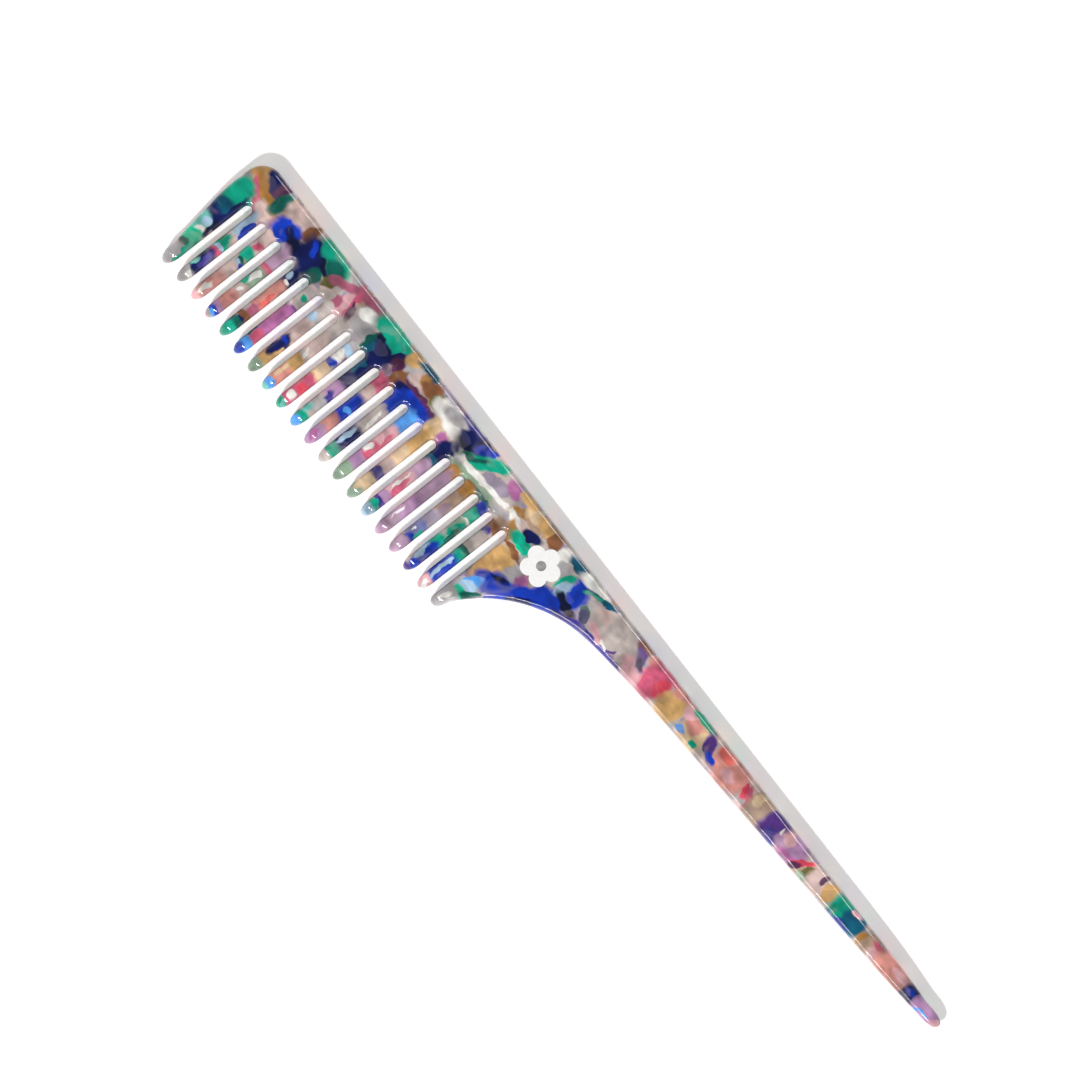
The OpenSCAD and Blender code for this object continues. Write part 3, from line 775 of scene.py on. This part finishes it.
def cut_piece(name, node, slices):
    """Parts one piece of the plate off, as planes (point, direction to keep), and closes its cuts."""
    part = comb.copy()
    for point, keep in slices:
        bmesh.ops.bisect_plane(
            part, geom=part.verts[:] + part.edges[:] + part.faces[:], dist=in_plane,
            plane_co=point, plane_no=keep, clear_inner=True,
        )
    open_edges = [edge for edge in part.edges if edge.is_boundary]
    bmesh.ops.holes_fill(part, edges=open_edges, sides=0)
    for edge in open_edges:
        edge.smooth = False
    bmesh.ops.recalc_face_normals(part, faces=part.faces)
    mesh = bpy.data.meshes.new(name)
    part.to_mesh(mesh)
    part.free()
    piece = bpy.data.objects.new(name, mesh)
    bpy.context.scene.collection.objects.link(piece)
    weighted = piece.modifiers.new("weighted_normals", "WEIGHTED_NORMAL")
    weighted.mode = "FACE_AREA"
    weighted.weight = 80
    weighted.keep_sharp = True
    low = Vector([min(vert.co[axis] for vert in mesh.vertices) for axis in range(3)])
    high = Vector([max(vert.co[axis] for vert in mesh.vertices) for axis in range(3)])
    mesh.materials.append(pressed_acetate(name, low, high))
    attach(piece, "root")
    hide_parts(node)


# ---- Spine ------------------------------------------------------------------------
# The straight acetate back of the comb, which every tooth grows from and which the
# round cutter bites into at the gap roots. Its ends run on into the front tooth and the
# shoulder with no joint, and its long edges are rounded and polished.
parting_shift = 0.0002
teeth_top = Vector((0, root_y - parting_shift, 0))
front_end = Vector((front_tooth_right + parting_shift, 0, 0))
spine_end = Vector((shoulder_x - parting_shift, 0, 0))
slices = [(teeth_top, (0, 1, 0)), (front_end, (1, 0, 0)), (spine_end, (-1, 0, 0))]
cut_piece("spine_acetate", "spine", slices)

# ---- Front tooth ------------------------------------------------------------------
# The broad end tooth of the same acetate, left wide and slanted to guard the fine ones.
# It takes in the rounded front corner, and it is one with the spine.
cut_piece("front_tooth_acetate", "front_tooth", [(front_end, (-1, 0, 0))])

# ---- Teeth ------------------------------------------------------------------------
# Eighteen equal teeth, each the acetate that is left between two cuts of the round
# cutter. They are one with the spine, and each is ground thin and round at its tip.
for tooth in range(tooth_count):
    left = Vector((front_tooth_right + gap_radius + tooth * tooth_pitch, 0, 0))
    right = left + Vector((tooth_pitch, 0, 0))
    node = f"tooth_{tooth + 1:02d}"
    slices = [(teeth_top, (0, -1, 0)), (left, (1, 0, 0)), (right, (-1, 0, 0))]
    cut_piece(node + "_acetate", node, slices)

# ---- Shoulder ---------------------------------------------------------------------
# The web of acetate behind the last gap, sawn to a pointed end tooth and a hollow round
# neck. It carries on from the spine, leads into the tail, and bears the printed mark.
neck_end = Vector((neck_end_x, 0, 0))
slices = [(spine_end, (1, 0, 0)), (neck_end, (-1, 0, 0))]
cut_piece("shoulder_acetate", "shoulder", slices)

# ---- Tail -------------------------------------------------------------------------
# The long parting tail, sawn from the same plate as one with the shoulder. It tapers in
# width, is ground thinner towards its point, and ends in a polished round tip.
cut_piece("tail_acetate", "tail", [(neck_end, (1, 0, 0))])
comb.free()

# ---- Printed flower ---------------------------------------------------------------
# A plain five-petal mark in opaque white ink, screen-printed on the shoulder. The ink
# lies a little unevenly, so it is faintly mottled and less glossy than the acetate.
ink = bpy.data.materials.new("white_ink")
ink.use_nodes = True
tree = ink.node_tree
point = add(tree, "TexCoord").outputs["Object"]
grain = feed(tree, add(tree, "TexNoise"), Vector=point, Scale=2600, Detail=3)
tone = feed(
    tree, add(tree, "Mix", data_type="RGBA"),
    Factor=grain.outputs["Fac"], A=dye(236, 234, 232), B=dye(252, 251, 250),
)
dull = feed(tree, add(tree, "MapRange"), Value=grain.outputs["Fac"], To_Min=0.35, To_Max=0.6)
ink_grain = feed(tree, add(tree, "Bump"), Height=grain.outputs["Fac"], Strength=0.15, Distance=0.00003)
feed(
    tree, tree.nodes["Principled BSDF"],
    Base_Color=tone.outputs["Result"], Roughness=dull.outputs["Result"], Normal=ink_grain.outputs[0],
)
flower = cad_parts["printed_flower"]
for slot in flower.material_slots:
    slot.material = ink

# ---- Floor, light and camera ------------------------------------------------------
# A plain pale matt floor, which is not part of the comb. The room is pale at its walls
# and dark overhead, so the polish mirrors little of it and the dyes stay deep.
floor = bpy.data.meshes.new("floor")
sheet = bmesh.new()
bmesh.ops.create_grid(sheet, x_segments=1, y_segments=1, size=3.0)
sheet.to_mesh(floor)
sheet.free()
floor_object = bpy.data.objects.new("floor", floor)
bpy.context.scene.collection.objects.link(floor_object)
white = bpy.data.materials.new("white_floor")
white.use_nodes = True
feed(
    white.node_tree, white.node_tree.nodes["Principled BSDF"],
    Base_Color=(0.88, 0.875, 0.87, 1), Roughness=0.9, Specular_IOR_Level=0.0,
    Emission_Color=(1.0, 0.985, 0.97, 1), Emission_Strength=0.29,
)
floor.materials.append(white)

studio = bpy.data.worlds.new("studio")
studio.use_nodes = True
gaze = add(studio.node_tree, "TexCoord").outputs["Generated"]
upward = feed(studio.node_tree, add(studio.node_tree, "SeparateXYZ"), Vector=gaze)
walls = feed(
    studio.node_tree, add(studio.node_tree, "MapRange"),
    Value=upward.outputs["Z"], From_Min=0.0, From_Max=1.0, To_Min=0.76, To_Max=0.10,
)
feed(
    studio.node_tree, studio.node_tree.nodes["Background"],
    Color=(1.0, 0.99, 0.98, 1), Strength=walls.outputs["Result"],
)
bpy.context.scene.world = studio


def softbox(name, place, aim, size, power):
    """A rectangular lamp over the comb, turned towards the point that it is aimed at."""
    lamp = bpy.data.lights.new(name, "AREA")
    lamp.shape = "RECTANGLE"
    lamp.size = size[0]
    lamp.size_y = size[1]
    lamp.energy = power
    lamp_object = bpy.data.objects.new(name, lamp)
    bpy.context.scene.collection.objects.link(lamp_object)
    lamp_object.location = place
    lamp_object.rotation_euler = (Vector(aim) - Vector(place)).to_track_quat("-Z", "Y").to_euler()
    return lamp_object


# The small key lamp casts the clear shadows and isn't mirrored in the polish. The long
# front strip does the opposite: it lights nothing and is only mirrored, as the thin
# bright line along the neck and the tail.
comb_middle = (0, 0, 0)
key = softbox("key_softbox", place=(0.22, -0.77, 1.0), aim=comb_middle, size=(0.08, 0.07), power=12.4)
key.visible_glossy = False
glint = softbox("glint_strip", place=(0.35, -0.71, 1.0), aim=(0.35, 0, 0), size=(1.0, 0.04), power=8.5)
glint.visible_diffuse = False
softbox("back_strip", place=(0.0, 0.55, 1.25), aim=comb_middle, size=(0.46, 0.10), power=2.7)

camera = bpy.data.cameras.new("camera")
camera.sensor_width = 36
camera.lens = 226
camera_object = bpy.data.objects.new("camera", camera)
bpy.context.scene.collection.objects.link(camera_object)
camera_object.location = (-0.01396, 0.00914, 1.204)
camera_object.rotation_euler = (0, 0, math.radians(51.91))
bpy.context.scene.camera = camera_object
bpy.context.scene.view_settings.view_transform = "Standard"
